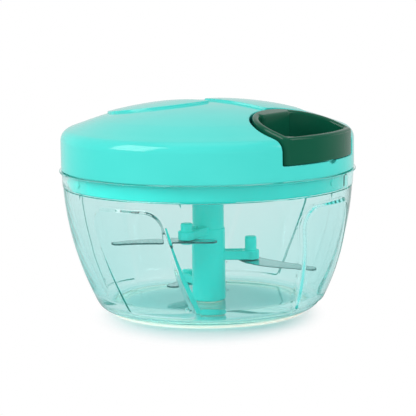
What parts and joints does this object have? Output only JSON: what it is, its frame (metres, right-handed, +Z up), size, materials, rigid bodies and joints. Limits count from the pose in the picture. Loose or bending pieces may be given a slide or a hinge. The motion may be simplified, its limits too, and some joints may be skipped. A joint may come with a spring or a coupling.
{
  "type": "pull-cord vegetable chopper",
  "caption": "Hand vegetable chopper: clear round bowl with finger grips, domed bayonet lid, and a pull handle whose cord spins curved blades on a central shaft.",
  "frame": {"origin": "on the chopper's vertical axis, on the surface that it stands on", "axes": "+Z up along the axis, +X from the axis towards the pull handle, +Y completes a right-handed frame"},
  "size_m": [0.1248, 0.1248, 0.0894],
  "materials": {
    "aqua_plastic": "glossy opaque aqua",
    "clear_plastic": "clear with an aqua tint, polished",
    "dark_green_plastic": "glossy opaque dark green",
    "blade_steel": "ground stainless steel",
    "pin_steel": "turned steel",
    "spring_steel": "blued spring strip",
    "white_nylon": "satin white",
    "cord": "braided nylon"
  },
  "bodies": {
    "bowl_body": {"bowl": "clear_plastic", "bowl_pivot_pin": "pin_steel"},
    "blade_body": {"blade_shaft": "aqua_plastic", "blade_upper": "blade_steel", "blade_middle": "blade_steel", "blade_lower": "blade_steel"},
    "axle_body": {"centre_axle": "pin_steel", "axle_screw": "pin_steel", "axle_washer": "pin_steel"},
    "lid_body": {"lid_cover": "aqua_plastic", "lid_base": "aqua_plastic", "lid_screw_1": "pin_steel", "lid_screw_2": "pin_steel", "lid_screw_3": "pin_steel", "lid_screw_4": "pin_steel", "cord_guide": "white_nylon", "cord_run": "cord"},
    "coupler_body": {"drive_coupler": "white_nylon"},
    "reel_body": {"cord_reel": "white_nylon", "clutch_disc": "dark_green_plastic", "return_spring": "spring_steel", "spring_cover": "white_nylon", "cord_winding": "cord"},
    "handle_body": {"pull_handle": "dark_green_plastic", "cord_knot": "cord", "cord_lead": "cord"}
  },
  "joints": [
    {"name": "blade_spin", "type": "hinge", "parent": "bowl_body", "child": "blade_body", "pos_m": [0, 0, 0.004], "axis": [0, 0, 1], "range_deg": [-1420, 0]},
    {"name": "lid_lift", "type": "slide", "parent": "bowl_body", "child": "axle_body", "axis": [0, 0, 1], "range_m": [0, 0.1]},
    {"name": "lid_turn", "type": "hinge", "parent": "axle_body", "child": "lid_body", "pos_m": [0, 0, 0.0607], "axis": [0, 0, 1], "range_deg": [-18, 0]},
    {"name": "coupler_spin", "type": "hinge", "parent": "axle_body", "child": "coupler_body", "pos_m": [0, 0, 0.0465], "axis": [0, 0, 1], "range_deg": [-1420, 0]},
    {"name": "reel_spin", "type": "hinge", "parent": "lid_body", "child": "reel_body", "pos_m": [0, 0, 0.0618], "axis": [0, 0, 1], "range_deg": [-1420, 0], "deforming": ["return_spring"]},
    {"name": "handle_pull", "type": "slide", "parent": "lid_body", "child": "handle_body", "axis": [1, 0, 0], "range_m": [0, 0.5], "stiffness_N_per_m": 8, "springref_m": -0.3, "deforming": ["cord_lead"]}
  ],
  "couplings": [
    {"joint": "reel_spin", "follows": "handle_pull", "rad_per_m": -49.505},
    {"joint": "coupler_spin", "follows": "handle_pull", "rad_per_m": -49.505},
    {"joint": "blade_spin", "follows": "handle_pull", "rad_per_m": -49.505}
  ]
}
